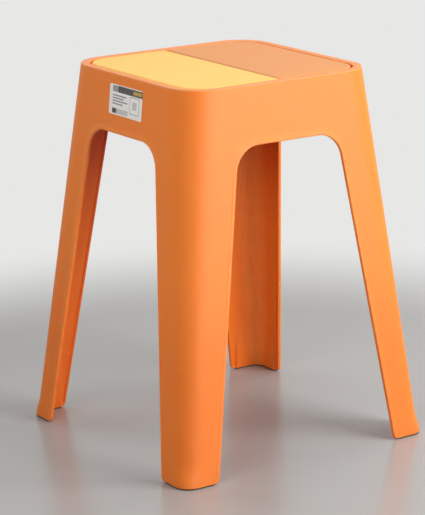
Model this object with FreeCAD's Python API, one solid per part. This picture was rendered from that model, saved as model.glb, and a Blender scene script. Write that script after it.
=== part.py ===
"""Square stacking stool, moulded in plastic, with a seat of two snap-in panels and rubber foot grips.

Millimetres, +Z up. The origin is on the floor under the middle of the seat.
-Y is the front, and the sticker is on the -X side.
"""
import math
import os

import FreeCAD
import Part

V = FreeCAD.Vector

# Walls: four plane sides that lean out towards the floor, with rounded corners between them.
# The corners tighten slowly down the leg and then quickly above the foot, which flares their outline.
seat_height = 470.0
top_width = 276.5
floor_width = 368.6
top_corner_radius = 46.0
ankle_corner_radius = 28.0
ankle_height = 26.0
foot_corner_radius = 21.0
foot_corner_height = 5.0
wall = 3.0

# Rim round the seat, and the sunk deck that carries the two panels
rim_width = 10.5
rim_edge_radius = 2.5
rim_plate = 3.0
rim_step = 2.6
deck_thickness = 2.8
rib_bays = 6
rib_thickness = 2.0
rib_depth = 14.0

# Arched openings between the legs, open at the floor; each leg is as wide on both of its sides
apron_height = 72.4
leg_top_width = 71.9
leg_floor_width = 50.6
opening_corner_radius = 34.0
opening_edge_radius = 2.4
toe_radius = 8.0

# Feet: inside, the wall thickens slowly towards the floor, short of the leg's two free edges
foot_height = 60.0
foot_plain_height = 8.0
foot_thickness = 7.0
foot_margin = 6.5

# Foot grips: a pad under each foot, with a tongue pressed up into a groove
grip_proud = 1.5
grip_edge = 0.6
grip_end_gap = 1.0
grip_chamfer = 0.4
groove_width = 3.2
groove_depth = 5.0
groove_end_wall = 3.0
tongue_side_clearance = 0.1
tongue_tip_clearance = 0.4

# Seat panels
panel_thickness = 3.0
panel_drop = 0.7
panel_clearance = 0.4
panel_split_gap = 0.8
panel_split_corner_radius = 2.5
panel_edge_radius = 1.4

# Snap hooks under the panels, and their slots in the deck
hook_width = 10.0
hook_thickness = 2.0
hook_barb = 1.2
hook_tip = 4.0
hook_play = 0.2
slot_clearance = 0.25

# Paper sticker on the apron of the -X side
sticker_width = 74.0
sticker_height = 37.0
sticker_thickness = 0.2
sticker_corner_radius = 2.0
sticker_below_rim = 12.5
sticker_off_centre = 3.8

# Heights that follow from the sizes above
foot_bottom = grip_proud
opening_top = seat_height - apron_height
panel_top = seat_height - panel_drop
deck_top = panel_top - panel_thickness
deck_bottom = deck_top - deck_thickness
wall_lean = (floor_width - top_width) / 2 / seat_height
corner_turns = [foot_corner_height, ankle_height]

# How far cutting and joining shapes run past the faces that they meet, and how near counts as touching
overrun = 1.0
near = 0.01


def half_width(z):
    """Half the outside width of the walls at height z."""
    return floor_width / 2 - wall_lean * z


def blend(z, low, low_value, high, high_value):
    """Value at z on the straight line between two heights."""
    return low_value + (high_value - low_value) * (z - low) / (high - low)


def corner_radius(z):
    """Outside radius of the corners at height z."""
    if z > ankle_height:
        return blend(z, ankle_height, ankle_corner_radius, seat_height, top_corner_radius)
    if z > foot_corner_height:
        return blend(z, foot_corner_height, foot_corner_radius, ankle_height, ankle_corner_radius)
    return foot_corner_radius


def opening_half(z):
    """Half the width of an opening between two legs at height z."""
    return half_width(z) - blend(z, 0, leg_floor_width, opening_top, leg_top_width)


def rounded_outline(corners):
    """Closed wire in the XY plane through corners (x, y, radius), each rounded by a tangent arc."""
    points = [V(x, y, 0) for x, y, radius in corners]
    bends = []
    for index, (x, y, radius) in enumerate(corners):
        here = points[index]
        back = (points[index - 1] - here).normalize()
        onward = (points[(index + 1) % len(points)] - here).normalize()
        half_angle = back.getAngle(onward) / 2
        reach = radius / math.tan(half_angle)
        depth = radius / math.sin(half_angle) - radius
        inward = (back + onward).normalize()
        bends.append((here + back * reach, here + inward * depth, here + onward * reach))
    edges = []
    for index, (start, middle, end) in enumerate(bends):
        if corners[index][2] > 0:
            edges.append(Part.Arc(start, middle, end).toShape())
        edges.append(Part.makeLine(end, bends[(index + 1) % len(bends)][0]))
    return Part.Wire(edges)


def rounded_square(half, radius, z):
    """Square wire with rounded corners at height z."""
    wire = rounded_outline([(half, -half, radius), (half, half, radius),
                            (-half, half, radius), (-half, -half, radius)])
    wire.translate(V(0, 0, z))
    return wire


def wall_section(z, inset):
    """Outside line of the walls at height z, moved inwards by inset."""
    return rounded_square(half_width(z) - inset, corner_radius(z) - inset, z)


def stacked_solid(wires):
    """Solid between like wires, from the lowest up: plane faces between lines, cones between arcs."""
    faces = [Part.Face(wires[0]), Part.Face(wires[-1])]
    for lower_wire, upper_wire in zip(wires[:-1], wires[1:]):
        for lower, upper in zip(lower_wire.Edges, upper_wire.Edges):
            if lower.Curve.TypeId == "Part::GeomLine":
                points = [lower.firstVertex(True).Point, lower.lastVertex(True).Point,
                          upper.lastVertex(True).Point, upper.firstVertex(True).Point]
                faces.append(Part.Face(Part.makePolygon(points + points[:1])))
            else:
                faces.append(Part.makeRuledSurface(lower, upper))
    shell = Part.makeShell(faces)
    shell.sewShape()
    return Part.makeSolid(shell).removeSplitter()


def tapered_block(levels):
    """Solid that follows the walls through levels (z, inset), from the lowest up."""
    wires = []
    for (low, low_inset), (high, high_inset) in zip(levels[:-1], levels[1:]):
        for z in [low] + [turn for turn in corner_turns if low < turn < high]:
            wires.append(wall_section(z, blend(z, low, low_inset, high, high_inset)))
    wires.append(wall_section(*levels[-1]))
    return stacked_solid(wires)


def upright_block(half, radius, z_low, z_high):
    """Square block with rounded upright corners."""
    return Part.Face(rounded_square(half, radius, z_low)).extrude(V(0, 0, z_high - z_low))


def foot_block(inset, z_low, z_high):
    """Upright block whose outline is the wall line at the foot's underside, moved in by inset."""
    return upright_block(half_width(foot_bottom) - inset, corner_radius(foot_bottom) - inset, z_low, z_high)


def through_stool(wire):
    """Prisms of one outline, drawn in X and Z, run through the stool from side to side both ways."""
    face = Part.Face(wire)
    face.rotate(V(0, 0, 0), V(1, 0, 0), 90)
    face.translate(V(0, floor_width, 0))
    along_y = face.extrude(V(0, -2 * floor_width, 0))
    along_x = along_y.copy()
    along_x.rotate(V(0, 0, 0), V(0, 0, 1), 90)
    return [along_y, along_x]


def openings():
    """The four arched openings, with the toes of the legs rounded towards the floor."""
    low_half = opening_half(0)
    top_half = opening_half(opening_top)
    beside_toe = low_half + 2 * toe_radius
    outline = rounded_outline([
        (-beside_toe, -overrun, 0), (beside_toe, -overrun, 0), (beside_toe, 0, 0),
        (low_half, 0, toe_radius), (top_half, opening_top, opening_corner_radius),
        (-top_half, opening_top, opening_corner_radius), (-low_half, 0, toe_radius),
        (-beside_toe, 0, 0)])
    return through_stool(outline)


def only_at_legs(ring, margin, z_high):
    """Parts of a ring that lie on the legs, margin away from the legs' free edges."""
    low_half = opening_half(-overrun) + margin
    high_half = opening_half(z_high + overrun) + margin
    outline = rounded_outline([(-low_half, -overrun, 0), (low_half, -overrun, 0),
                               (high_half, z_high + overrun, 0), (-high_half, z_high + overrun, 0)])
    return ring.cut(through_stool(outline))


def is_opening_edge(edge):
    """True for an edge of an opening on the flat part of an outside wall."""
    first, last = edge.ParameterRange
    for share in (0.0, 0.3, 0.7, 1.0):
        point = edge.valueAt(first + (last - first) * share)
        outward = max(abs(point.x), abs(point.y))
        sideways = min(abs(point.x), abs(point.y))
        on_wall = abs(outward - half_width(point.z)) < near
        on_flat = sideways < half_width(point.z) - corner_radius(point.z) - near
        if not on_wall or not on_flat or point.z > opening_top + near:
            return False
    return edge.BoundBox.ZMax > foot_bottom + near


def leaning_walls():
    """Rim, aprons and four L-shaped legs as one thin tapered box with arched openings."""
    block = tapered_block([(foot_bottom, 0), (seat_height, 0)])
    hollow = tapered_block([(foot_bottom - overrun, wall), (deck_bottom, wall)])
    shell = block.cut([hollow] + openings())
    shell = shell.makeFillet(opening_edge_radius, [edge for edge in shell.Edges if is_opening_edge(edge)])
    rim_edges = [edge for edge in shell.Edges if edge.BoundBox.ZMin > seat_height - near]
    return shell.makeFillet(rim_edge_radius, rim_edges)


def recess_half():
    return half_width(seat_height) - rim_width


def recess_radius():
    return corner_radius(seat_height) - rim_width


def rib_centres():
    """Places of the ribs across the deck, from wall to wall."""
    span = 2 * (half_width(deck_bottom) - wall)
    return [span * (index / rib_bays - 0.5) for index in range(1, rib_bays)]


def bay_centre(bay):
    """Middle of the gap between two ribs; negative numbers count from the far wall."""
    span = 2 * (half_width(deck_bottom) - wall)
    return span * ((bay % rib_bays + 0.5) / rib_bays - 0.5)


def deck_ribs():
    """Grid of ribs under the deck, let into the aprons all round."""
    reach = half_width(deck_bottom - rib_depth)
    height = rib_depth + deck_thickness / 2
    ribs = []
    for place in rib_centres():
        rib = Part.makeBox(rib_thickness, 2 * reach, height,
                           V(place - rib_thickness / 2, -reach, deck_bottom - rib_depth))
        ribs.append(rib)
        ribs.append(rib.rotated(V(0, 0, 0), V(0, 0, 1), 90))
    inside = tapered_block([(deck_bottom - rib_depth - overrun, wall / 2), (deck_top, wall / 2)])
    return ribs[0].fuse(ribs[1:]).common(inside)


def feet():
    """Inside of the legs' ends, where the wall thickens slowly towards the floor."""
    buried = wall / 2
    plain_top = foot_bottom + foot_plain_height
    top = foot_height + overrun
    top_inset = blend(top, plain_top, foot_thickness, foot_height, wall)
    outside = tapered_block([(foot_bottom, buried), (top, buried)])
    inside = tapered_block([(foot_bottom - overrun, foot_thickness), (plain_top, foot_thickness),
                            (top, top_inset)])
    return only_at_legs(outside.cut(inside), foot_margin, top)


def groove_middle():
    """Inset of the groove's centre line, midway through the foot."""
    return foot_thickness / 2


def grooves():
    z_high = foot_bottom + groove_depth
    ring = foot_block(groove_middle() - groove_width / 2, foot_bottom - overrun, z_high).cut(
        foot_block(groove_middle() + groove_width / 2, foot_bottom - overrun, z_high))
    return only_at_legs(ring, foot_margin + groove_end_wall, z_high)


def hook_places():
    """Snap hooks of the panel on the -X side: (x of the catching face, y, way that the barb points)."""
    outer_x = bay_centre(0)
    inner_x = bay_centre(rib_bays // 2 - 1)
    rows = sorted({bay_centre(bay) for bay in (0, rib_bays // 2 - 1, -rib_bays // 2, -1)})
    return [(x, y, way) for x, way in ((outer_x, -1), (inner_x, 1)) for y in rows]


def hook_slots():
    """Slots of both panels' hooks, each with room on one side for its hook to bend."""
    slots = []
    length = hook_width + 2 * slot_clearance
    width = hook_thickness + hook_barb + 2 * slot_clearance
    for x, y, way in hook_places():
        front = x + way * slot_clearance
        slot = Part.makeBox(width, length, deck_thickness + 2 * overrun,
                            V(min(front, front - way * width), y - length / 2, deck_bottom - overrun))
        slots.append(slot)
        slots.append(slot.mirror(V(0, 0, 0), V(1, 0, 0)))
    return slots


def stool_shell():
    """The one-piece moulding: rim, deck with ribs, aprons, legs and feet."""
    recess = upright_block(recess_half(), recess_radius(), deck_top, seat_height + overrun)
    channel = tapered_block([(deck_bottom - overrun, wall), (seat_height - rim_plate, wall)]).cut(
        upright_block(recess_half() + rim_step, recess_radius() + rim_step,
                      deck_bottom - 2 * overrun, seat_height))
    body = leaning_walls().cut([recess, channel])
    body = body.fuse([deck_ribs(), feet()])
    return body.cut(hook_slots() + [grooves()])


def snap_hook(x, y, way):
    """Hook under a panel, with a flat catch below the deck and a sloped tip."""
    catch = deck_bottom - hook_play
    tip = catch - hook_tip
    root = deck_top + panel_thickness / 2
    outline = [(0, root), (0, catch), (hook_barb, catch), (0, tip),
               (-hook_thickness, tip), (-hook_thickness, root)]
    points = [V(x + way * across, y - hook_width / 2, z) for across, z in outline]
    return Part.Face(Part.makePolygon(points + points[:1])).extrude(V(0, hook_width, 0))


def left_seat_panel():
    """Half of the seat: a flat panel with softened top edges, resting on the deck."""
    outer = recess_half() - panel_clearance
    radius = recess_radius() - panel_clearance
    split = panel_split_gap / 2
    outline = rounded_outline([(-outer, -outer, radius), (-split, -outer, panel_split_corner_radius),
                               (-split, outer, panel_split_corner_radius), (-outer, outer, radius)])
    outline.translate(V(0, 0, deck_top))
    plate = Part.Face(outline).extrude(V(0, 0, panel_thickness))
    top_edges = [edge for edge in plate.Edges if edge.BoundBox.ZMin > panel_top - near]
    plate = plate.makeFillet(panel_edge_radius, top_edges)
    return plate.fuse([snap_hook(x, y, way) for x, y, way in hook_places()])


def foot_grips():
    """Four L-shaped rubber strips: a pad that stands on the floor and a tongue in the foot's groove."""
    inner = foot_thickness - grip_edge
    pad_outside = stacked_solid([
        rounded_square(half_width(foot_bottom) - inset, corner_radius(foot_bottom) - inset, z)
        for z, inset in ((0, grip_edge + grip_chamfer), (foot_bottom, grip_edge))])
    pad = only_at_legs(pad_outside.cut(foot_block(inner, -overrun, foot_bottom + overrun)),
                       foot_margin + grip_end_gap, foot_bottom)
    tongue_half = groove_width / 2 - tongue_side_clearance
    tongue_top = foot_bottom + groove_depth - tongue_tip_clearance
    tongue_low = foot_bottom - grip_proud / 2
    tongue = only_at_legs(
        foot_block(groove_middle() - tongue_half, tongue_low, tongue_top).cut(
            foot_block(groove_middle() + tongue_half, tongue_low - overrun, tongue_top + overrun)),
        foot_margin + groove_end_wall + tongue_side_clearance, tongue_top)
    grips = {}
    for solid in pad.fuse(tongue).Solids:
        middle = solid.CenterOfMass
        end = "front" if middle.y < 0 else "back"
        side = "left" if middle.x < 0 else "right"
        grips["foot_grip_" + end + "_" + side] = solid
    return grips


def side_sticker():
    """Thin paper sticker with rounded corners, flat on the leaning apron of the -X side."""
    half = sticker_width / 2
    low = -sticker_height
    outline = rounded_outline([(-half, low, sticker_corner_radius), (half, low, sticker_corner_radius),
                               (half, 0, sticker_corner_radius), (-half, 0, sticker_corner_radius)])
    sticker = Part.Face(outline).extrude(V(0, 0, sticker_thickness))
    top = seat_height - sticker_below_rim
    uphill = V(wall_lean, 0, 1).normalize()
    outward = V(-1, 0, wall_lean).normalize()
    sticker.Placement = FreeCAD.Placement(V(-half_width(top), -sticker_off_centre, top),
                                          FreeCAD.Rotation(V(0, -1, 0), uphill, outward, "ZXY"))
    return sticker


left_panel = left_seat_panel()
pieces = {
    "stool_shell": stool_shell(),
    "seat_panel_yellow": left_panel,
    "seat_panel_orange": left_panel.mirror(V(0, 0, 0), V(1, 0, 0)),
    "sticker": side_sticker(),
}
pieces.update(foot_grips())

os.makedirs("parts", exist_ok=True)
for name, shape in pieces.items():
    shape.exportStep("parts/" + name + ".step")
    print(name, "solids", len(shape.Solids), "valid", shape.isValid(), "volume %.1f" % shape.Volume)
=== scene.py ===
import math

import bmesh
import bpy
import numpy as np
from mathutils import Matrix, Vector


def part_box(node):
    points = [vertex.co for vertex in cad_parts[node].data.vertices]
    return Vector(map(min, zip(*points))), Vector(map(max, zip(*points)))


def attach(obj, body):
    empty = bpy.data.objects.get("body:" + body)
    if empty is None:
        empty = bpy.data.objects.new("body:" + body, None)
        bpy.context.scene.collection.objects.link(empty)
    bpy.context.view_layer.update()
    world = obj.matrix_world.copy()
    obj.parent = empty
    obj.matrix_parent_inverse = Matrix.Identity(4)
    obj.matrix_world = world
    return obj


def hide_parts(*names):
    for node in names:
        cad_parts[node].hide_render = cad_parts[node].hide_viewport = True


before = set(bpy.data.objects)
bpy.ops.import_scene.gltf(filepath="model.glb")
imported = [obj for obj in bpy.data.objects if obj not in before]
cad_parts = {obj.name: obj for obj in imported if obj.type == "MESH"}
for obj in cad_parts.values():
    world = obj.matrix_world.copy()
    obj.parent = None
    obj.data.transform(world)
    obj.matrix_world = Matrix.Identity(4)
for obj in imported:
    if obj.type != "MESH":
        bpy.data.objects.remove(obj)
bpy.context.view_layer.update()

# Stool shell: one injection moulding in satin orange polypropylene. Four plane walls lean out to the
# floor and turn into L-shaped legs between arched openings; a rim frames a sunk deck.
# A slightly raised strip follows the free edges outside and a bead inside, and inside each foot the
# wall thickens slowly towards the floor.
mm = 0.001
shell_low, shell_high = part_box("stool_shell")
foot_underside = shell_low.z
seat_height = shell_high.z
foot_half = shell_high.x
top_half = 138.25 * mm
wall = 3.0 * mm

top_corner_radius = 46.0 * mm
floor_corner_radius = 27.4 * mm
corner_flare = 6.4 * mm
flare_from = 4.0 * mm
flare_to = 27.0 * mm

opening_top = 397.6 * mm
opening_top_half = 73.44 * mm
opening_floor_half = 133.7 * mm
opening_corner = 34.0 * mm
toe_corner = 8.0 * mm
edge_band = 1.8 * mm
edge_depth = 1.2 * mm
edge_strip_width = 5.0 * mm
edge_step_half = 0.4 * mm
edge_strip_rise = 0.45 * mm
strip_full_from = 8.0 * mm
inner_edge = 0.8 * mm
edge_bead = 1.5 * mm
bead_from = 2.6 * mm
bead_to = 4.2 * mm
sole_edge = 0.8 * mm
weld = 0.002 * mm
level_tolerance = 0.01 * mm

foot_extra = 4.0 * mm
foot_plain_top = 9.5 * mm
foot_taper_top = 62.0 * mm
foot_margin = 6.5 * mm
foot_crease = 1.0 * mm

rim_width = 10.5 * mm
rim_edge = 0.5 * mm
rim_crown_from = 3.0 * mm
rim_crown_radius = 90.0 * mm
recess_edge = 0.5 * mm
rim_plate = 3.0 * mm
rim_step = 2.6 * mm
deck_top = 466.3 * mm
deck_bottom = 463.5 * mm


def smooth_step(low, high, value):
    """Share from 0 at low to 1 at high, with a soft start and end."""
    share = np.clip((value - low) / (high - low), 0.0, 1.0)
    return share * share * (3.0 - 2.0 * share)


def half_width(z):
    """Half the outside width of the walls at height z."""
    share = (z - foot_underside) / (seat_height - foot_underside)
    return foot_half + (top_half - foot_half) * share


def corner_radius(z):
    """Outside radius of the corners: it tightens slowly down the leg, and quickly above the foot."""
    steady = floor_corner_radius + (top_corner_radius - floor_corner_radius) * z / seat_height
    return steady - corner_flare * (1.0 - smooth_step(flare_from, flare_to, z))


def corner_line(z):
    """Distance along the wall, from its middle, to the diagonal of the corner."""
    return half_width(z) - corner_radius(z) + corner_radius(z) * math.pi / 4


def corner_turn(along, z):
    """Angle by which the wall has turned into the corner, an eighth of a turn on its diagonal."""
    return np.clip((along - half_width(z)) / corner_radius(z) + 1.0, 0.0, math.pi / 4)


def wall_points(along, z, inset):
    """Points of half a wall, from its middle to the corner's diagonal, moved inwards by inset."""
    radius = corner_radius(z)
    flat = half_width(z) - radius
    turn = corner_turn(along, z)
    x = np.minimum(along, flat) + (radius - inset) * np.sin(turn)
    y = -flat - (radius - inset) * np.cos(turn)
    return np.stack(np.broadcast_arrays(x, y, z), axis=-1)


# Half an opening: the leg's leaning edge with a rounded toe, a corner arc and half the crown
lean = (opening_floor_half - opening_top_half) / opening_top
edge_stretch = math.hypot(1.0, lean)
arch_centre_z = opening_top - opening_corner
arch_centre_x = opening_floor_half - lean * arch_centre_z - opening_corner * edge_stretch
toe_centre_x = opening_floor_half - lean * toe_corner + toe_corner * edge_stretch
spring = arch_centre_z + opening_corner * lean / edge_stretch


def leg_edge(z):
    """Distance from the wall's middle to the free edge of the leg at height z."""
    straight = opening_floor_half - lean * z
    drop = np.clip((toe_corner - z) / toe_corner, 0.0, 1.0)
    toe = toe_centre_x - toe_corner * np.sqrt(1.0 - drop * drop)
    tangent_z = toe_corner - toe_corner * lean / edge_stretch
    return np.where(z < tangent_z, toe, straight)


def side_distance(x, z):
    """Distance of a point on a leg from the line of the leg's free edge."""
    return (x - opening_floor_half + lean * z) / edge_stretch


def edge_distance(x, z):
    """Distance from the free edge and its toe; it grows again along the floor line past the toe."""
    from_toe = toe_corner - np.hypot(x - toe_centre_x, z - toe_corner)
    past_toe = z + x - toe_centre_x
    near_floor = np.where(x < toe_centre_x, from_toe, past_toe)
    return np.where(z < toe_corner, np.minimum(side_distance(x, z), near_floor), side_distance(x, z))


leg_columns = 60
arc_columns = 46
columns_to_corner = 25
crown_columns = 10
field_rows = 16
far_from_edge = 1.0


def half_wall_grid(top, edge_rows, upright_rows):
    """Grid over half a wall below the height top: along, height and distance from the opening's edge.
    Columns start at the opening's outline, and end on the corner's diagonal or on the line at top.
    The upright rows lean with the leg's edge higher up, and stand upright inside the foot."""
    climb = np.linspace(0.0, 1.0, leg_columns + 1) ** 2
    leg_z = foot_underside + (spring - foot_underside) * climb
    angles = np.linspace(math.atan2(lean, 1.0), math.pi / 2, arc_columns + 1)[1:]
    crown_x = np.linspace(arch_centre_x, 0.0, crown_columns + 1)[1:]
    on_leg = leg_columns + 1
    start = np.concatenate([
        np.stack([leg_edge(leg_z), leg_z], axis=-1),
        np.stack([arch_centre_x + opening_corner * np.cos(angles),
                  arch_centre_z + opening_corner * np.sin(angles)], axis=-1),
        np.stack([crown_x, np.full(crown_columns, opening_top)], axis=-1)])
    way = np.concatenate([
        np.tile([edge_stretch, 0.0], (on_leg, 1)),
        np.stack([np.cos(angles), np.sin(angles)], axis=-1),
        np.tile([0.0, 1.0], (crown_columns, 1))])
    up_corner = np.linspace(spring, top, columns_to_corner + 1)[1:]
    rim_x = np.linspace(corner_line(top), arch_centre_x, arc_columns - columns_to_corner + 1)[1:]
    end = np.concatenate([
        np.stack([corner_line(leg_z), leg_z], axis=-1),
        np.stack([corner_line(up_corner), up_corner], axis=-1),
        np.stack([rim_x, np.full(len(rim_x), top)], axis=-1),
        np.stack([crown_x, np.full(crown_columns, top)], axis=-1)])
    above_foot = np.maximum(leg_z - foot_taper_top, 0.0) / foot_taper_top
    upright_shift = np.zeros(len(start))
    lean_in_foot = lean / edge_stretch * np.minimum(leg_z, foot_taper_top)
    upright_shift[:on_leg] = lean_in_foot * np.exp(-above_foot ** 2)
    from_edge = np.concatenate([np.tile(edge_rows, (len(start), 1)),
                                upright_rows + upright_shift[:, None]], axis=1)
    near_edge = start[:, None] + from_edge[..., None] * way[:, None]
    share = np.linspace(0.0, 1.0, field_rows + 1)[1:]
    field = near_edge[:, -1:] + share[None, :, None] * (end - near_edge[:, -1])[:, None]
    grid = np.concatenate([near_edge, field], axis=1)
    along, z = grid[..., 0], grid[..., 1]
    distance = edge_distance(along, z)
    distance[on_leg:] = np.concatenate([edge_rows, upright_rows, np.full(field_rows, far_from_edge)])
    return along, z, distance


def rounding(distance, band, depth):
    """Depth of an elliptical edge rounding at a distance from the edge."""
    return depth * (1.0 - np.sqrt(1.0 - np.clip(1.0 - distance / band, 0.0, 1.0) ** 2))


def strip_rise(distance, z):
    """Height of the raised strip along the free edges, which sinks into the foot near the floor."""
    past_step = smooth_step(edge_strip_width - edge_step_half,
                            edge_strip_width + edge_step_half, distance)
    above_floor = np.clip((z - foot_underside) / strip_full_from, 0.0, 1.0)
    return edge_strip_rise * (1.0 - past_step) * above_floor


strip_rows = edge_strip_width + edge_step_half * np.linspace(-1.0, 1.0, 5)
crease_rows = foot_margin + foot_crease * np.linspace(-1.0, 1.0, 5)
outer_rows = np.concatenate([edge_band * (1.0 - np.cos(np.linspace(0.0, math.pi / 2, 10))), strip_rows])
inner_rows = np.concatenate([inner_edge * (1.0 - np.cos(np.linspace(0.0, math.pi / 2, 5))),
                             np.linspace(bead_from, bead_to, 5)])
outer_along, outer_z, outer_edge = half_wall_grid(seat_height - rim_edge, outer_rows, np.zeros(0))
outer_inset = np.maximum(rounding(outer_edge, edge_band, edge_depth),
                         rounding(outer_z - foot_underside, sole_edge, sole_edge))
outer_wall = wall_points(outer_along, outer_z, outer_inset - strip_rise(outer_edge, outer_z))
inner_along, inner_z, inner_gap = half_wall_grid(seat_height - rim_plate, inner_rows, crease_rows)
thicker = foot_extra * np.clip((foot_taper_top - inner_z) / (foot_taper_top - foot_plain_top), 0.0, 1.0)
past_margin = (inner_along - opening_floor_half) / edge_stretch
thicker = thicker * smooth_step(foot_margin - foot_crease, foot_margin + foot_crease, past_margin)
bead = edge_bead * (1.0 - smooth_step(bead_from, bead_to, inner_gap))
inner_inset = wall + thicker + bead - rounding(inner_gap, inner_edge, inner_edge)
inner_wall = wall_points(inner_along, inner_z, inner_inset)

# Loops of the rim, from the outer wall's top over the rim to the deck, and back under it
rim_columns = slice(leg_columns + columns_to_corner, None)
quarter = np.linspace(0.0, math.pi / 2, 7)[1:]
arc_in = 1.0 - np.cos(quarter)
arc_down = 1.0 - np.sin(quarter)
crown = np.linspace(rim_crown_from, rim_width - recess_edge, 8)
crown_height = seat_height - (crown - rim_crown_from) ** 2 / (2.0 * rim_crown_radius)
rim_line = list(zip(rim_edge * arc_in, seat_height - rim_edge * arc_down))
rim_line += list(zip(crown, crown_height))
rim_line += list(zip(rim_width - recess_edge * arc_down[1::2],
                     crown_height[-1] - recess_edge * arc_in[1::2]))
rim_line += [(rim_width, deck_top)]
under_rim_line = [(rim_width - rim_step, seat_height - rim_plate), (rim_width - rim_step, deck_bottom)]


def rim_loops(along, line):
    """Rows of points over the rim, one for each (inset, height) of its cross-section."""
    top = np.full(len(along), seat_height)
    rows = []
    for inset, height in line:
        points = wall_points(along, top, inset)
        points[:, 2] = height
        rows.append(points)
    return np.stack(rows, axis=1)


outer_rim = rim_loops(outer_along[rim_columns, -1], rim_line)
inner_rim = rim_loops(inner_along[rim_columns, -1], under_rim_line)

shell_build = bmesh.new()
wear_layer = shell_build.verts.layers.float.new("edge_wear")
inside_layer = shell_build.verts.layers.float.new("inside_face")
painted_light_layer = shell_build.verts.layers.float.new("stacking_rub")


def add_grid(points, turned, wear=0.0, inside=0.0, corner_light=0.0):
    """Quads over a grid of points; turned gives the winding."""
    wear = np.broadcast_to(wear, points.shape[:2])
    corner_light = np.broadcast_to(corner_light, points.shape[:2])
    verts = []
    for row, row_wear, row_corner_light in zip(points, wear, corner_light):
        verts.append([shell_build.verts.new(point) for point in row])
        for vert, wear_here, corner_light_here in zip(verts[-1], row_wear, row_corner_light):
            vert[wear_layer] = wear_here
            vert[inside_layer] = inside
            vert[painted_light_layer] = corner_light_here
    for first, second in zip(verts[:-1], verts[1:]):
        for a, b, c, d in zip(first[:-1], first[1:], second[1:], second[:-1]):
            shell_build.faces.new((a, d, c, b) if turned else (a, b, c, d))


def placed(points, turn, mirrored):
    """Points of half a wall, mirrored if asked, and turned to one of the four sides."""
    x = -points[..., 0] if mirrored else points[..., 0]
    y = points[..., 1]
    cos, sin = round(math.cos(turn)), round(math.sin(turn))
    return np.stack([cos * x - sin * y, sin * x + cos * y, points[..., 2]], axis=-1)


edge_face = np.stack([outer_wall[:, 0], inner_wall[:, 0]], axis=0)
sole_face = np.stack([outer_wall[0], inner_wall[0]], axis=0)
outer_over_rim = np.concatenate([outer_wall[rim_columns, -1:], outer_rim], axis=1)
inner_over_rim = np.concatenate([inner_wall[rim_columns, -1:], inner_rim], axis=1)
wall_wear = np.exp(-(outer_edge / edge_strip_width) ** 2)
# Mask where the inner faces turn into the corners, for pale streaks of painted light
stacking_rub = smooth_step(0.0, 0.6, corner_turn(inner_along, inner_z))
for side in range(4):
    turn = side * math.pi / 2
    for mirrored in (False, True):
        add_grid(placed(outer_wall, turn, mirrored), mirrored, wall_wear)
        add_grid(placed(inner_wall, turn, mirrored), not mirrored, inside=1.0, corner_light=stacking_rub)
        add_grid(placed(edge_face, turn, mirrored), mirrored)
        add_grid(placed(sole_face, turn, mirrored), not mirrored)
        add_grid(placed(outer_over_rim, turn, mirrored), mirrored)
        add_grid(placed(inner_over_rim, turn, mirrored), not mirrored)
bmesh.ops.remove_doubles(shell_build, verts=shell_build.verts, dist=weld)

# Deck between the rim's inner walls, pierced by the slots that the seat panels snap into
rib_bays = 6
hook_width = 10.0 * mm
hook_thickness = 2.0 * mm
hook_barb = 1.2 * mm
slot_clearance = 0.25 * mm
rib_span = 2.0 * (half_width(deck_bottom) - wall)
rib_pitch = rib_span / rib_bays
bay_centres = [rib_pitch * (bay + 0.5) - rib_span / 2 for bay in range(rib_bays)]
hook_rows = [bay_centres[0], bay_centres[2], bay_centres[3], bay_centres[5]]
hook_columns = [(bay_centres[0], -1), (bay_centres[2], 1), (bay_centres[3], -1), (bay_centres[5], 1)]


def slot_corners(x, y, way):
    """Outline of one slot: the hook's catching face is at x, and its barb points along way."""
    face = x + way * slot_clearance
    back = face - way * (hook_thickness + hook_barb + 2.0 * slot_clearance)
    half = hook_width / 2 + slot_clearance
    return [(face, y - half), (back, y - half), (back, y + half), (face, y + half)]


open_edges = [edge for edge in shell_build.edges if edge.is_boundary]
slots = [slot_corners(x, y, way) for x, way in hook_columns for y in hook_rows]
for height in (deck_top, deck_bottom):
    loop_edges = [edge for edge in open_edges
                  if all(abs(vert.co.z - height) < level_tolerance for vert in edge.verts)]
    for slot in slots:
        ring = [shell_build.verts.new((x, y, height)) for x, y in slot]
        loop_edges += [shell_build.edges.new((ring[index - 1], ring[index])) for index in range(4)]
    bmesh.ops.triangle_fill(shell_build, edges=loop_edges, use_beauty=True)
for slot in slots:
    for (x0, y0), (x1, y1) in zip(slot, slot[1:] + slot[:1]):
        shell_build.faces.new([shell_build.verts.new(point) for point in (
            (x0, y0, deck_top), (x1, y1, deck_top), (x1, y1, deck_bottom), (x0, y0, deck_bottom))])
bmesh.ops.remove_doubles(shell_build, verts=shell_build.verts, dist=weld)
bmesh.ops.recalc_face_normals(shell_build, faces=shell_build.faces)
walls_mesh = bpy.data.meshes.new("shell_walls")
shell_build.to_mesh(walls_mesh)
shell_build.free()


def put(tree, kind, inputs=None, **settings):
    """Add a node with these settings, and feed its inputs with values or from other nodes' outputs."""
    node = tree.nodes.new(kind)
    for name, value in settings.items():
        setattr(node, name, value)
    for key, value in (inputs or {}).items():
        if isinstance(value, bpy.types.NodeSocket):
            tree.links.new(value, node.inputs[key])
        else:
            node.inputs[key].default_value = value
    return node


def maths(tree, operation, *values):
    """Output of a math node with these values or outputs for its inputs."""
    return put(tree, "ShaderNodeMath", dict(enumerate(values)), operation=operation).outputs[0]


def vector_maths(tree, operation, *values):
    """Vector math node with these values or outputs for its inputs."""
    return put(tree, "ShaderNodeVectorMath", dict(enumerate(values)), operation=operation)


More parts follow.
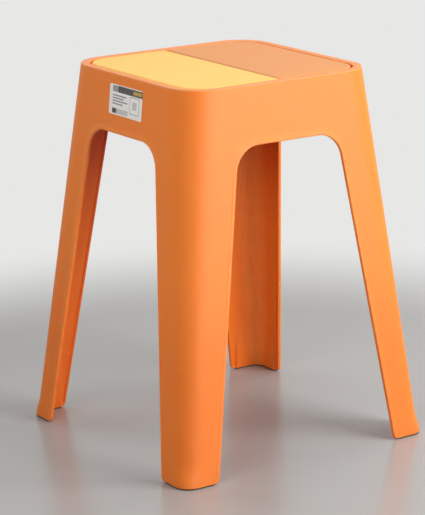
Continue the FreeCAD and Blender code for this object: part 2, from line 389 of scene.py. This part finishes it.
def node_group(name, kind, inputs, outputs):
    """Empty node group with named sockets, and the sockets of its two end nodes."""
    group = bpy.data.node_groups.new(name, kind)
    for in_out, sockets in (("INPUT", inputs), ("OUTPUT", outputs)):
        for label, socket_kind in sockets:
            group.interface.new_socket(label, in_out=in_out, socket_type="NodeSocket" + socket_kind)
    return group, group.nodes.new("NodeGroupInput").outputs, group.nodes.new("NodeGroupOutput").inputs


def grown_mesh(name, tree, values):
    """Plain mesh that a geometry tree gives with these values for its named inputs."""
    holder = bpy.data.objects.new(name, bpy.data.meshes.new(name))
    bpy.context.scene.collection.objects.link(holder)
    modifier = holder.modifiers.new(name, "NODES")
    modifier.node_group = tree
    for item in tree.interface.items_tree:
        if item.in_out == "INPUT":
            modifier[item.identifier] = values[item.name]
    seen = holder.evaluated_get(bpy.context.evaluated_depsgraph_get())
    mesh = bpy.data.meshes.new_from_object(seen)
    bpy.data.objects.remove(holder)
    return mesh


def joined_mesh(name, body, addition, material):
    """Plain mesh of two closed meshes joined into one closed mesh of one material."""
    holders = [bpy.data.objects.new(mesh.name, mesh) for mesh in (body, addition)]
    for holder in holders:
        bpy.context.scene.collection.objects.link(holder)
    modifier = holders[0].modifiers.new("join", "BOOLEAN")
    modifier.operation = "UNION"
    modifier.solver = "MANIFOLD"
    modifier.object = holders[1]
    seen = holders[0].evaluated_get(bpy.context.evaluated_depsgraph_get())
    mesh = bpy.data.meshes.new_from_object(seen)
    mesh.name = name
    for holder in holders:
        bpy.data.objects.remove(holder)
    mesh.materials.clear()
    mesh.materials.append(material)
    mesh.polygons.foreach_set("material_index", [0] * len(mesh.polygons))
    mesh.shade_smooth()
    mesh.set_sharp_from_angle(angle=math.radians(38))
    return mesh


# Effects that several finishes share: grain, clouding and flow lines of a moulded surface, marks of
# handling, and dust from the floor
grain_group, given, gives = node_group(
    "moulded_grain", "ShaderNodeTree",
    (("Position", "Vector"), ("Grain Size", "Float"), ("Cloud Size", "Float")),
    (("Grain", "Float"), ("Cloud", "Float"), ("Flow", "Float")))
per_grain = maths(grain_group, "DIVIDE", 1.0, given["Grain Size"])
grain = put(grain_group, "ShaderNodeTexNoise",
            {"Vector": given["Position"], "Scale": per_grain, "Detail": 2.0, "Roughness": 0.6})
per_cloud = maths(grain_group, "DIVIDE", 1.0, given["Cloud Size"])
cloud = put(grain_group, "ShaderNodeTexNoise",
            {"Vector": given["Position"], "Scale": per_cloud, "Detail": 3.0, "Roughness": 0.5})
flow_stretch = put(grain_group, "ShaderNodeMapping",
                   {"Vector": given["Position"], "Scale": (160.0, 160.0, 5.0)}, vector_type="POINT")
flow = put(grain_group, "ShaderNodeTexNoise",
           {"Vector": flow_stretch.outputs[0], "Scale": 1.0, "Detail": 2.0, "Roughness": 0.5})
for texture, label in ((grain, "Grain"), (cloud, "Cloud"), (flow, "Flow")):
    grain_group.links.new(texture.outputs[0], gives[label])

marks_group, given, gives = node_group(
    "handling_marks", "ShaderNodeTree",
    (("Position", "Vector"), ("Mark Width", "Float")), (("Marks", "Float"),))
per_width = maths(marks_group, "DIVIDE", 1.0, given["Mark Width"])
crossing_marks = []
for turn in ((0.5, 0.3, 0.9), (-0.7, 0.4, 2.2)):
    turned = put(marks_group, "ShaderNodeMapping",
                 {"Vector": given["Position"], "Rotation": turn, "Scale": (0.03, 1.0, 1.0)},
                 vector_type="POINT")
    thin = put(marks_group, "ShaderNodeTexNoise",
               {"Vector": turned.outputs[0], "Scale": per_width, "Detail": 1.0})
    crossing_marks.append(put(marks_group, "ShaderNodeMapRange",
                              {"Value": thin.outputs[0], "From Min": 0.70, "From Max": 0.78}))
either = maths(marks_group, "MAXIMUM", crossing_marks[0].outputs[0], crossing_marks[1].outputs[0])
marks_group.links.new(either, gives["Marks"])

dust_group, given, gives = node_group(
    "floor_dust", "ShaderNodeTree", (("Position", "Vector"), ("Reach", "Float")), (("Dust", "Float"),))
height = put(dust_group, "ShaderNodeSeparateXYZ", {"Vector": given["Position"]})
low_down = put(dust_group, "ShaderNodeMapRange",
               {"Value": height.outputs["Z"], "From Min": 0.0, "From Max": given["Reach"],
                "To Min": 1.0, "To Max": 0.0}, interpolation_type="SMOOTHSTEP")
speckle = put(dust_group, "ShaderNodeTexNoise",
              {"Vector": given["Position"], "Scale": 170.0, "Detail": 4.0, "Roughness": 0.65})
patchy = put(dust_group, "ShaderNodeMapRange",
             {"Value": speckle.outputs[0], "From Min": 0.38, "From Max": 0.72})
dust = maths(dust_group, "MULTIPLY", low_down.outputs[0], patchy.outputs[0])
dust_group.links.new(dust, gives["Dust"])


def new_material(name):
    """Material with its Principled shader, and the Object coordinates that its patterns read."""
    material = bpy.data.materials.new(name)
    material.use_nodes = True
    tree = material.node_tree
    position = put(tree, "ShaderNodeTexCoord").outputs["Object"]
    return material, tree, tree.nodes["Principled BSDF"], position


def mixed(tree, factor, first, second):
    """Colour between two colours."""
    node = put(tree, "ShaderNodeMix", {0: factor, 6: first, 7: second}, data_type="RGBA")
    return node.outputs[2]


def deepened(tree, factor, colour, tint):
    """Colour multiplied by a tint, as far as the factor says."""
    node = put(tree, "ShaderNodeMix", {0: factor, 6: colour, 7: tint},
               data_type="RGBA", blend_type="MULTIPLY")
    return node.outputs[2]


def weighted(tree, start, *terms):
    """Number that starts from a value and adds each (weight, output) to it."""
    total = start
    for weight, value in terms:
        total = maths(tree, "MULTIPLY_ADD", value, weight, total)
    return total


def moulded_plastic(name, darker, lighter, roughness, grain_size, grain_height, mark_width):
    """Moulded plastic: clouded colour with faint flow lines, uneven gloss, fine grain and light marks."""
    material, tree, shader, position = new_material(name)
    surface = put(tree, "ShaderNodeGroup", node_tree=grain_group)
    tree.links.new(position, surface.inputs["Position"])
    surface.inputs["Grain Size"].default_value = grain_size
    surface.inputs["Cloud Size"].default_value = 70.0 * mm
    marks = put(tree, "ShaderNodeGroup", node_tree=marks_group)
    tree.links.new(position, marks.inputs["Position"])
    marks.inputs["Mark Width"].default_value = mark_width
    tone = weighted(tree, 0.0, (0.75, surface.outputs["Cloud"]), (0.25, surface.outputs["Flow"]))
    colour = mixed(tree, tone, darker + (1.0,), lighter + (1.0,))
    gloss = weighted(tree, roughness - 0.09, (0.12, surface.outputs["Cloud"]),
                     (0.06, surface.outputs["Grain"]), (0.10, marks.outputs["Marks"]))
    relief = weighted(tree, 0.0, (1.0, surface.outputs["Grain"]), (-0.6, marks.outputs["Marks"]))
    bump = put(tree, "ShaderNodeBump", {"Strength": 1.0, "Distance": grain_height, "Height": relief})
    shader.inputs["Specular IOR Level"].default_value = 0.28
    shader.inputs["Subsurface Weight"].default_value = 0.3
    shader.inputs["Subsurface Radius"].default_value = (1.0, 0.10, 0.04)
    shader.inputs["Subsurface Scale"].default_value = 3.0 * mm
    tree.links.new(colour, shader.inputs["Base Color"])
    tree.links.new(gloss, shader.inputs["Roughness"])
    tree.links.new(bump.outputs[0], shader.inputs["Normal"])
    return material


# Shell finish: paler worn edges, dust at the feet, painted shade that deepens the colour low on the legs,
# a deeper inside colour of painted shade and bounce light that deepens further under the seat, a paler,
# browner rim top as painted reflection and shade, and pale streaks of painted light inside the corners
shell_plastic = moulded_plastic("orange_polypropylene", (0.84, 0.213, 0.030), (0.88, 0.234, 0.036),
                                0.47, 0.5 * mm, 0.006 * mm, 0.7 * mm)
shell_tree = shell_plastic.node_tree
shell_shader = shell_tree.nodes["Principled BSDF"]
moulded_colour = shell_shader.inputs["Base Color"].links[0].from_socket
shell_position = put(shell_tree, "ShaderNodeTexCoord").outputs["Object"]
wear_place = put(shell_tree, "ShaderNodeAttribute", attribute_name="edge_wear")
wear_break = put(shell_tree, "ShaderNodeTexNoise",
                 {"Vector": shell_position, "Scale": 120.0, "Detail": 4.0, "Roughness": 0.7})
wear = maths(shell_tree, "MULTIPLY", wear_place.outputs["Fac"], wear_break.outputs[0])
worn_share = maths(shell_tree, "MULTIPLY", wear, 0.55)
worn_colour = mixed(shell_tree, worn_share, moulded_colour, (0.93, 0.33, 0.09, 1.0))
shell_dust = put(shell_tree, "ShaderNodeGroup", node_tree=dust_group)
shell_tree.links.new(shell_position, shell_dust.inputs["Position"])
shell_dust.inputs["Reach"].default_value = 26.0 * mm
dusty_share = maths(shell_tree, "MULTIPLY", shell_dust.outputs[0], 0.30)
dusty_colour = mixed(shell_tree, dusty_share, worn_colour, (0.50, 0.20, 0.07, 1.0))
shell_height = put(shell_tree, "ShaderNodeSeparateXYZ", {"Vector": shell_position}).outputs["Z"]
# Painted shade: the colour deepens low on the legs, where the light falls off towards the floor
painted_low_shade = put(shell_tree, "ShaderNodeMapRange",
                 {"Value": shell_height, "From Min": 100.0 * mm, "From Max": 270.0 * mm,
                  "To Min": 1.0, "To Max": 0.0}, interpolation_type="SMOOTHSTEP")
low_painted_shade_colour = deepened(shell_tree, painted_low_shade.outputs[0], dusty_colour, (0.95, 0.88, 0.78, 1.0))
# Painted reflection and shade: the rim's top takes a paler, browner tone than the walls
rim_sheen_from = seat_height - 1.9 * mm
rim_sheen_full = seat_height - 1.3 * mm
painted_rim_sheen = put(shell_tree, "ShaderNodeMapRange",
             {"Value": shell_height, "From Min": rim_sheen_from, "From Max": rim_sheen_full,
              "To Min": 0.0, "To Max": 0.85})
colour_with_painted_rim_sheen = mixed(shell_tree, painted_rim_sheen.outputs[0], low_painted_shade_colour, (0.76, 0.285, 0.098, 1.0))
inside_face = put(shell_tree, "ShaderNodeAttribute", attribute_name="inside_face").outputs["Fac"]
# Painted shade: the inside faces take a deeper, redder colour that stands in for shade and orange bounce
# light, and it deepens further under the seat
painted_shade_under_seat = put(shell_tree, "ShaderNodeMapRange",
                 {"Value": shell_height, "From Min": 250.0 * mm, "From Max": 380.0 * mm,
                  "To Min": 0.0, "To Max": 1.0}, interpolation_type="SMOOTHSTEP")
inside_painted_shade_colour = deepened(shell_tree, painted_shade_under_seat.outputs[0],
                         (0.88, 0.196, 0.021, 1.0), (0.91, 0.62, 0.40, 1.0))
colour_with_inside_painted_shade = mixed(shell_tree, inside_face, colour_with_painted_rim_sheen, inside_painted_shade_colour)
# Painted light: pale streaks inside the leg corners stand in for light and gloss gathered by the concave
# corners
painted_light_place = put(shell_tree, "ShaderNodeAttribute", attribute_name="stacking_rub").outputs["Fac"]
painted_light_stretch = put(shell_tree, "ShaderNodeMapping",
                  {"Vector": shell_position, "Scale": (260.0, 260.0, 5.0)}, vector_type="POINT")
painted_light_streaks = put(shell_tree, "ShaderNodeTexNoise",
                  {"Vector": painted_light_stretch.outputs[0], "Scale": 1.0, "Detail": 2.0, "Roughness": 0.5})
corner_light = maths(shell_tree, "MULTIPLY", painted_light_place, painted_light_streaks.outputs[0])
colour_with_painted_light = mixed(shell_tree, corner_light, colour_with_inside_painted_shade, (0.98, 0.32, 0.065, 1.0))
outside_gloss = shell_shader.inputs["Roughness"].links[0].from_socket
sided_gloss = weighted(shell_tree, outside_gloss, (-0.06, inside_face))
shell_tree.links.new(colour_with_painted_light, shell_shader.inputs["Base Color"])
shell_tree.links.new(sided_gloss, shell_shader.inputs["Roughness"])

# Ribs that stiffen the deck from below, crossing from wall to wall
rib_thickness = 2.0 * mm
rib_depth = 14.0 * mm
rib_half_length = 138.2 * mm
rib_tree, given, gives = node_group(
    "deck_rib_grid", "GeometryNodeTree",
    (("Rib Count", "Int"), ("Pitch", "Float"), ("Rib Size", "Vector"), ("Middle Height", "Float"),
     ("Material", "Material")), (("Geometry", "Geometry"),))
gaps_between = maths(rib_tree, "SUBTRACT", given["Rib Count"], 1.0)
rib_reach = maths(rib_tree, "MULTIPLY", gaps_between, given["Pitch"])
first_place = maths(rib_tree, "MULTIPLY", rib_reach, -0.5)
first_point = put(rib_tree, "ShaderNodeCombineXYZ", {"X": first_place, "Z": given["Middle Height"]})
next_point = put(rib_tree, "ShaderNodeCombineXYZ", {"X": given["Pitch"]})
rib_line = put(rib_tree, "GeometryNodeMeshLine",
               {"Count": given["Rib Count"], "Start Location": first_point.outputs[0],
                "Offset": next_point.outputs[0]}, mode="OFFSET")
one_rib = put(rib_tree, "GeometryNodeMeshCube", {"Size": given["Rib Size"]})
rib_copies = put(rib_tree, "GeometryNodeInstanceOnPoints",
                 {"Points": rib_line.outputs[0], "Instance": one_rib.outputs[0]})
front_to_back = put(rib_tree, "GeometryNodeRealizeInstances", {"Geometry": rib_copies.outputs[0]})
side_to_side = put(rib_tree, "GeometryNodeTransform",
                   {"Geometry": front_to_back.outputs[0], "Rotation": (0.0, 0.0, math.pi / 2)})
crossed = put(rib_tree, "GeometryNodeMeshBoolean", operation="UNION", solver="MANIFOLD")
for ribs in (front_to_back, side_to_side):
    rib_tree.links.new(ribs.outputs[0], crossed.inputs["Mesh 2"])
rib_result = put(rib_tree, "GeometryNodeRealizeInstances", {"Geometry": crossed.outputs[0]})
rib_finish = put(rib_tree, "GeometryNodeSetMaterial",
                 {"Geometry": rib_result.outputs[0], "Material": given["Material"]})
rib_tree.links.new(rib_finish.outputs[0], gives["Geometry"])
into_deck = 1.0 * mm
rib_mesh = grown_mesh("deck_ribs", rib_tree, {
    "Rib Count": rib_bays - 1, "Pitch": rib_pitch,
    "Rib Size": (rib_thickness, 2.0 * rib_half_length, rib_depth + into_deck),
    "Middle Height": deck_bottom + (into_deck - rib_depth) / 2, "Material": shell_plastic})
shell_mesh = joined_mesh("stool_shell_body", walls_mesh, rib_mesh, shell_plastic)
shell = bpy.data.objects.new("stool_shell_body", shell_mesh)
bpy.context.scene.collection.objects.link(shell)
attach(shell, "root")
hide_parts("stool_shell")

# Foot grips: four L-shaped strips of dark rubber, one pressed into a groove under each foot.
# Only a thin dark line of them shows between the foot and the floor.
grip_rubber, rubber_tree, rubber_shader, rubber_position = new_material("dark_brown_rubber")
rubber_surface = put(rubber_tree, "ShaderNodeGroup", node_tree=grain_group)
rubber_tree.links.new(rubber_position, rubber_surface.inputs["Position"])
rubber_surface.inputs["Grain Size"].default_value = 0.8 * mm
rubber_surface.inputs["Cloud Size"].default_value = 20.0 * mm
rubber_dust = put(rubber_tree, "ShaderNodeGroup", node_tree=dust_group)
rubber_tree.links.new(rubber_position, rubber_dust.inputs["Position"])
rubber_dust.inputs["Reach"].default_value = 3.0 * mm
rubber_tone = mixed(rubber_tree, rubber_surface.outputs["Cloud"], (0.030, 0.016, 0.011, 1.0),
                    (0.055, 0.030, 0.020, 1.0))
rubber_share = maths(rubber_tree, "MULTIPLY", rubber_dust.outputs[0], 0.4)
rubber_colour = mixed(rubber_tree, rubber_share, rubber_tone, (0.16, 0.14, 0.12, 1.0))
rubber_gloss = weighted(rubber_tree, 0.70, (0.20, rubber_surface.outputs["Grain"]))
rubber_bump = put(rubber_tree, "ShaderNodeBump",
                  {"Strength": 1.0, "Distance": 0.03 * mm, "Height": rubber_surface.outputs["Grain"]})
rubber_tree.links.new(rubber_colour, rubber_shader.inputs["Base Color"])
rubber_tree.links.new(rubber_gloss, rubber_shader.inputs["Roughness"])
rubber_tree.links.new(rubber_bump.outputs[0], rubber_shader.inputs["Normal"])
for corner in ("front_left", "front_right", "back_right", "back_left"):
    for material_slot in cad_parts["foot_grip_" + corner].material_slots:
        material_slot.material = grip_rubber

# Seat panels: two flat halves of moulded plastic, one pale yellow and one soft orange, with a fine
# spark-eroded texture and softened top edges. A groove parts them from the rim, and each snaps into the
# deck's slots with eight hooks.
panel_low, panel_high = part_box("seat_panel_yellow")
panel_groove = 2.0 * mm
panel_rise = 0.65 * mm
panel_top = panel_high.z + panel_rise
panel_outer = -panel_low.x - panel_groove
panel_split = -panel_high.x
panel_corner = 35.1 * mm
panel_split_corner = 2.5 * mm
panel_edge = 2.2 * mm
panel_support = 0.8 * mm
hook_play = 0.2 * mm
hook_tip = 4.0 * mm
hook_root = 1.5 * mm


def panel_loop(inset, z):
    """Outline of the half seat on the -X side at height z, moved inwards by inset."""
    corners = [(-panel_outer, -panel_outer, panel_corner, 180, 32),
               (-panel_split, -panel_outer, panel_split_corner, 270, 10),
               (-panel_split, panel_outer, panel_split_corner, 0, 10),
               (-panel_outer, panel_outer, panel_corner, 90, 32)]
    points = []
    for x, y, radius, start, steps in corners:
        middle_x = x + (radius if x < -panel_outer / 2 else -radius)
        middle_y = y + (radius if y < 0.0 else -radius)
        for angle in np.radians(np.linspace(start, start + 90, steps + 1)):
            points.append((middle_x + (radius - inset) * math.cos(angle),
                           middle_y + (radius - inset) * math.sin(angle), z))
    return points


panel_build = bmesh.new()
panel_rows = [(0.0, deck_top), (0.0, panel_top - panel_edge)]
panel_rows += list(zip(panel_edge * arc_in, panel_top - panel_edge * arc_down))
panel_rows += [(panel_edge + panel_support, panel_top)]
rings = [[panel_build.verts.new(point) for point in panel_loop(inset, z)] for inset, z in panel_rows]
for lower, upper in zip(rings[:-1], rings[1:]):
    for index in range(len(lower)):
        panel_build.faces.new((lower[index - 1], lower[index], upper[index], upper[index - 1]))
panel_build.faces.new(rings[-1])
panel_build.faces.new(rings[0][::-1])
plate_mesh = bpy.data.meshes.new("seat_plate")
panel_build.to_mesh(plate_mesh)
panel_build.free()

# One hook, with a flat catch under the deck and a sloped tip, and the tree that sets the hooks in rows
catch = deck_bottom - hook_play
hook_outline = [(0.0, deck_top + hook_root), (0.0, catch), (-hook_barb, catch), (0.0, catch - hook_tip),
                (hook_thickness, catch - hook_tip), (hook_thickness, deck_top + hook_root)]
hook_build = bmesh.new()
near_end = [hook_build.verts.new((x, -hook_width / 2, z)) for x, z in hook_outline]
far_end = [hook_build.verts.new((x, hook_width / 2, z)) for x, z in hook_outline]
hook_build.faces.new(near_end)
hook_build.faces.new(far_end)
for index in range(len(hook_outline)):
    hook_build.faces.new((near_end[index - 1], near_end[index], far_end[index], far_end[index - 1]))
bmesh.ops.recalc_face_normals(hook_build, faces=hook_build.faces)
hook_mesh = bpy.data.meshes.new("snap_hook")
hook_build.to_mesh(hook_mesh)
hook_build.free()
hook = bpy.data.objects.new("snap_hook", hook_mesh)

hook_tree, given, gives = node_group(
    "snap_hook_rows", "GeometryNodeTree",
    (("Hook", "Object"), ("Bay Count", "Int"), ("Bay Pitch", "Float"), ("Outer Column", "Float"),
     ("Inner Column", "Float"), ("Material", "Material")), (("Geometry", "Geometry"),))
bay_gaps = maths(hook_tree, "SUBTRACT", given["Bay Count"], 1.0)
bay_reach = maths(hook_tree, "MULTIPLY", bay_gaps, given["Bay Pitch"])
first_bay = maths(hook_tree, "MULTIPLY", bay_reach, -0.5)
bay_start = put(hook_tree, "ShaderNodeCombineXYZ", {"Y": first_bay})
bay_step = put(hook_tree, "ShaderNodeCombineXYZ", {"Y": given["Bay Pitch"]})
bays = put(hook_tree, "GeometryNodeMeshLine",
           {"Count": given["Bay Count"], "Start Location": bay_start.outputs[0],
            "Offset": bay_step.outputs[0]}, mode="OFFSET")
third = maths(hook_tree, "MODULO", put(hook_tree, "GeometryNodeInputIndex").outputs[0], 3.0)
empty_bay = maths(hook_tree, "COMPARE", third, 1.0, 0.1)
hook_bays = put(hook_tree, "GeometryNodeDeleteGeometry",
                {"Geometry": bays.outputs[0], "Selection": empty_bay}, domain="POINT")
hook_shape = put(hook_tree, "GeometryNodeObjectInfo", {"Object": given["Hook"]})
all_hooks = put(hook_tree, "GeometryNodeJoinGeometry")
for column, half_turn in (("Outer Column", 0.0), ("Inner Column", math.pi)):
    column_place = put(hook_tree, "ShaderNodeCombineXYZ", {"X": given[column]})
    column_points = put(hook_tree, "GeometryNodeTransform",
                        {"Geometry": hook_bays.outputs[0], "Translation": column_place.outputs[0]})
    column_hooks = put(hook_tree, "GeometryNodeInstanceOnPoints",
                       {"Points": column_points.outputs[0], "Instance": hook_shape.outputs["Geometry"],
                        "Rotation": (0.0, 0.0, half_turn)})
    hook_tree.links.new(column_hooks.outputs[0], all_hooks.inputs[0])
real_hooks = put(hook_tree, "GeometryNodeRealizeInstances", {"Geometry": all_hooks.outputs[0]})
hook_finish = put(hook_tree, "GeometryNodeSetMaterial",
                  {"Geometry": real_hooks.outputs[0], "Material": given["Material"]})
hook_tree.links.new(hook_finish.outputs[0], gives["Geometry"])

seat_colours = {"yellow": ((0.84, 0.510, 0.108), (0.90, 0.560, 0.132)),
                "orange": ((0.68, 0.262, 0.072), (0.73, 0.290, 0.087))}
for colour_name, (darker, lighter) in seat_colours.items():
    seat_plastic = moulded_plastic(colour_name + "_seat_plastic", darker, lighter,
                                   0.46, 0.9 * mm, 0.02 * mm, 0.9 * mm)
    hooks_mesh = grown_mesh("hooks", hook_tree, {
        "Hook": hook, "Bay Count": rib_bays, "Bay Pitch": rib_pitch, "Outer Column": bay_centres[0],
        "Inner Column": bay_centres[2], "Material": seat_plastic})
    panel_mesh = joined_mesh("seat_half_" + colour_name, plate_mesh, hooks_mesh, seat_plastic)
    if colour_name == "orange":
        panel_mesh.transform(Matrix.Diagonal((-1.0, 1.0, 1.0, 1.0)))
        panel_mesh.flip_normals()
    panel = bpy.data.objects.new("seat_half_" + colour_name, panel_mesh)
    bpy.context.scene.collection.objects.link(panel)
    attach(panel, "root")
    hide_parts("seat_panel_" + colour_name)
bpy.data.objects.remove(hook)

# Sticker: a coated paper label with rounded corners, stuck flat on the apron of the left side.
# Its print is plain dark, grey and ochre blocks and bars on off-white paper.
sticker_low, sticker_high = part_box("sticker")
sticker_paper, paper_tree, paper_shader, paper_position = new_material("coated_paper")
block_group, given, gives = node_group(
    "printed_block", "ShaderNodeTree",
    (("Place", "Vector"), ("Middle", "Vector"), ("Half Size", "Vector"), ("Corner", "Float")),
    (("Mask", "Float"),))
from_middle = vector_maths(block_group, "SUBTRACT", given["Place"], given["Middle"]).outputs[0]
off_middle = vector_maths(block_group, "ABSOLUTE", from_middle).outputs[0]
past_side = vector_maths(block_group, "SUBTRACT", off_middle, given["Half Size"]).outputs[0]
beyond = vector_maths(block_group, "MAXIMUM", past_side, (0.0, 0.0, 0.0)).outputs[0]
reach = vector_maths(block_group, "LENGTH", beyond).outputs["Value"]
inside = maths(block_group, "LESS_THAN", reach, given["Corner"])
block_group.links.new(inside, gives["Mask"])
place_on_paper = put(paper_tree, "ShaderNodeMapping", {
    "Vector": paper_position,
    "Location": (0.0, -(sticker_low.y + sticker_high.y) / 2, -(sticker_low.z + sticker_high.z) / 2),
    "Scale": (0.0, 1.0, 1.0)}, vector_type="POINT")
paper_surface = put(paper_tree, "ShaderNodeGroup", node_tree=grain_group)
paper_tree.links.new(paper_position, paper_surface.inputs["Position"])
paper_surface.inputs["Grain Size"].default_value = 0.3 * mm
paper_surface.inputs["Cloud Size"].default_value = 18.0 * mm
paper_white = (0.88, 0.85, 0.81, 1.0)
paper_colour = mixed(paper_tree, paper_surface.outputs["Cloud"], (0.84, 0.81, 0.77, 1.0), paper_white)
dark_print = (0.060, 0.058, 0.055, 1.0)
grey_print = (0.30, 0.30, 0.31, 1.0)
pale_print = (0.56, 0.54, 0.52, 1.0)
ochre_print = (0.52, 0.33, 0.07, 1.0)
# Each block: its middle and half size along and up the paper and its corner radius in mm, and its ink
printed_blocks = (
    (-13.0, 13.4, 30.0, 3.2, 0.8, dark_print), (-26.0, 13.4, 9.0, 1.2, 0.8, ochre_print),
    (24.0, 13.2, 5.0, 2.6, 1.2, grey_print),
    (14.5, 5.2, 15.0, 0.4, 0.5, grey_print), (17.5, 1.8, 12.0, 0.4, 0.5, grey_print),
    (13.0, -1.6, 16.5, 0.4, 0.5, grey_print), (18.0, -5.0, 11.5, 0.4, 0.5, grey_print),
    (-20.0, -2.4, 8.5, 8.5, 2.0, grey_print), (-20.0, -2.4, 7.7, 7.7, 2.0, paper_white),
    (-20.0, -2.4, 3.2, 3.2, 1.5, pale_print),
    (12.0, -13.6, 17.0, 2.2, 0.8, pale_print), (25.0, -13.6, 4.0, 2.2, 0.8, dark_print))
for middle_y, middle_z, half_y, half_z, corner, ink in printed_blocks:
    block = put(paper_tree, "ShaderNodeGroup", node_tree=block_group)
    paper_tree.links.new(place_on_paper.outputs[0], block.inputs["Place"])
    block.inputs["Middle"].default_value = (0.0, middle_y * mm, middle_z * mm)
    block.inputs["Half Size"].default_value = (1.0, half_y * mm, half_z * mm)
    block.inputs["Corner"].default_value = corner * mm
    paper_colour = mixed(paper_tree, block.outputs[0], paper_colour, ink)
paper_gloss = weighted(paper_tree, 0.34, (0.18, paper_surface.outputs["Cloud"]))
paper_bump = put(paper_tree, "ShaderNodeBump",
                 {"Strength": 1.0, "Distance": 0.006 * mm, "Height": paper_surface.outputs["Grain"]})
paper_tree.links.new(paper_colour, paper_shader.inputs["Base Color"])
paper_tree.links.new(paper_gloss, paper_shader.inputs["Roughness"])
paper_tree.links.new(paper_bump.outputs[0], paper_shader.inputs["Normal"])
for material_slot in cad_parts["sticker"].material_slots:
    material_slot.material = sticker_paper

# Floor, light and camera: a plain pale floor under soft studio light, seen from the photograph's angle.
# The floor fades into the backdrop for the camera and for reflections, and throws back less light
# than it shows.
floor_mesh = bpy.data.meshes.new("floor")
floor_half = 12.0
floor_mesh.from_pydata([(-floor_half, -floor_half, 0), (floor_half, -floor_half, 0),
                        (floor_half, floor_half, 0), (-floor_half, floor_half, 0)], [], [(0, 1, 2, 3)])
floor = bpy.data.objects.new("floor", floor_mesh)
bpy.context.scene.collection.objects.link(floor)
floor_material, floor_tree, floor_shader, floor_position = new_material("pale_floor")
floor_shader.inputs["Roughness"].default_value = 0.25
floor_ray = put(floor_tree, "ShaderNodeLightPath").outputs
floor_seen = maths(floor_tree, "MAXIMUM", floor_ray["Is Camera Ray"], floor_ray["Is Glossy Ray"])
floor_colour = mixed(floor_tree, floor_seen, (0.21, 0.205, 0.198, 1.0), (0.322, 0.315, 0.304, 1.0))
floor_tree.links.new(floor_colour, floor_shader.inputs["Base Color"])
from_stool = vector_maths(floor_tree, "LENGTH", floor_position).outputs["Value"]
fades = []
for ray_kind, near, far in (("Is Camera Ray", 0.5, 0.95), ("Is Glossy Ray", 1.1, 3.4)):
    far_away = put(floor_tree, "ShaderNodeMapRange",
                   {"Value": from_stool, "From Min": near, "From Max": far},
                   interpolation_type="SMOOTHSTEP")
    fades.append(maths(floor_tree, "MULTIPLY", far_away.outputs[0], floor_ray[ray_kind]))
fade = maths(floor_tree, "MAXIMUM", fades[0], fades[1])
backdrop = put(floor_tree, "ShaderNodeEmission", {"Color": (0.80, 0.80, 0.79, 1.0), "Strength": 1.0})
floor_mix = put(floor_tree, "ShaderNodeMixShader",
                {0: fade, 1: floor_shader.outputs[0], 2: backdrop.outputs[0]})
floor_tree.links.new(floor_mix.outputs[0], floor_tree.nodes["Material Output"].inputs["Surface"])
floor_mesh.materials.append(floor_material)

world = bpy.data.worlds.new("studio")
bpy.context.scene.world = world
world.use_nodes = True
world_background = world.node_tree.nodes["Background"]
world_background.inputs["Color"].default_value = (1.0, 1.0, 1.0, 1.0)
ray = put(world.node_tree, "ShaderNodeLightPath").outputs
shown = maths(world.node_tree, "MAXIMUM", ray["Is Camera Ray"], ray["Is Glossy Ray"])
shown = maths(world.node_tree, "MAXIMUM", shown, ray["Is Transmission Ray"])
strength = put(world.node_tree, "ShaderNodeMapRange", {"Value": shown, "To Min": 0.06, "To Max": 0.80})
world.node_tree.links.new(strength.outputs[0], world_background.inputs["Strength"])


def area_light(name, place, target, width, height, power, diffuse=True, gloss=True):
    """Soft rectangular lamp aimed at a target; it can be left out of diffuse light or of reflections."""
    lamp = bpy.data.lights.new(name, "AREA")
    lamp.shape = "RECTANGLE"
    lamp.size = width
    lamp.size_y = height
    lamp.energy = power
    light = bpy.data.objects.new(name, lamp)
    light.visible_diffuse = diffuse
    light.visible_glossy = gloss
    light.location = place
    light.rotation_euler = (Vector(target) - Vector(place)).to_track_quat("-Z", "Y").to_euler()
    bpy.context.scene.collection.objects.link(light)


area_light("key", (0.95, -1.4, 1.05), (0, 0, 0.3), 1.3, 1.1, 44.5, gloss=False)
area_light("gloss", (0.3, -1.25, 0.52), (0, 0, 0.4), 1.8, 0.5, 22.5, diffuse=False)
area_light("overhead", (0.4, 0.2, 2.2), (0, 0, 0.4), 1.5, 1.5, 19.0)
area_light("fill", (-1.42, -0.82, 0.95), (0, 0, 0.3), 1.2, 0.55, 15.4, gloss=False)
area_light("side", (2.2, 0.2, 1.1), (0, 0, 0.3), 1.2, 1.2, 14.0, gloss=False)
area_light("back", (-0.9, 2.3, 1.0), (0, 0, 0.3), 1.4, 1.4, 16.0, gloss=False)

camera_azimuth = math.radians(-33.773)
camera_elevation = math.radians(15.007)
camera_roll = math.radians(-0.859)
camera_distance = 2955.14 * mm
camera_aside = 13.074 * mm
camera_target = Vector((0.0, 0.0, 220.82 * mm))
back = Vector((math.sin(camera_azimuth) * math.cos(camera_elevation),
               -math.cos(camera_azimuth) * math.cos(camera_elevation), math.sin(camera_elevation)))
level = Vector((0.0, 0.0, 1.0)).cross(back).normalized()
upright = back.cross(level)
right = level * math.cos(camera_roll) + upright * math.sin(camera_roll)
up = upright * math.cos(camera_roll) - level * math.sin(camera_roll)
place = camera_target + back * camera_distance - right * camera_aside
camera_data = bpy.data.cameras.new("camera")
camera_data.lens = 162.82
camera = bpy.data.objects.new("camera", camera_data)
camera.matrix_world = Matrix((
    (right.x, up.x, back.x, place.x), (right.y, up.y, back.y, place.y),
    (right.z, up.z, back.z, place.z), (0.0, 0.0, 0.0, 1.0)))
bpy.context.scene.collection.objects.link(camera)
bpy.context.scene.camera = camera
bpy.context.scene.view_settings.view_transform = "Standard"
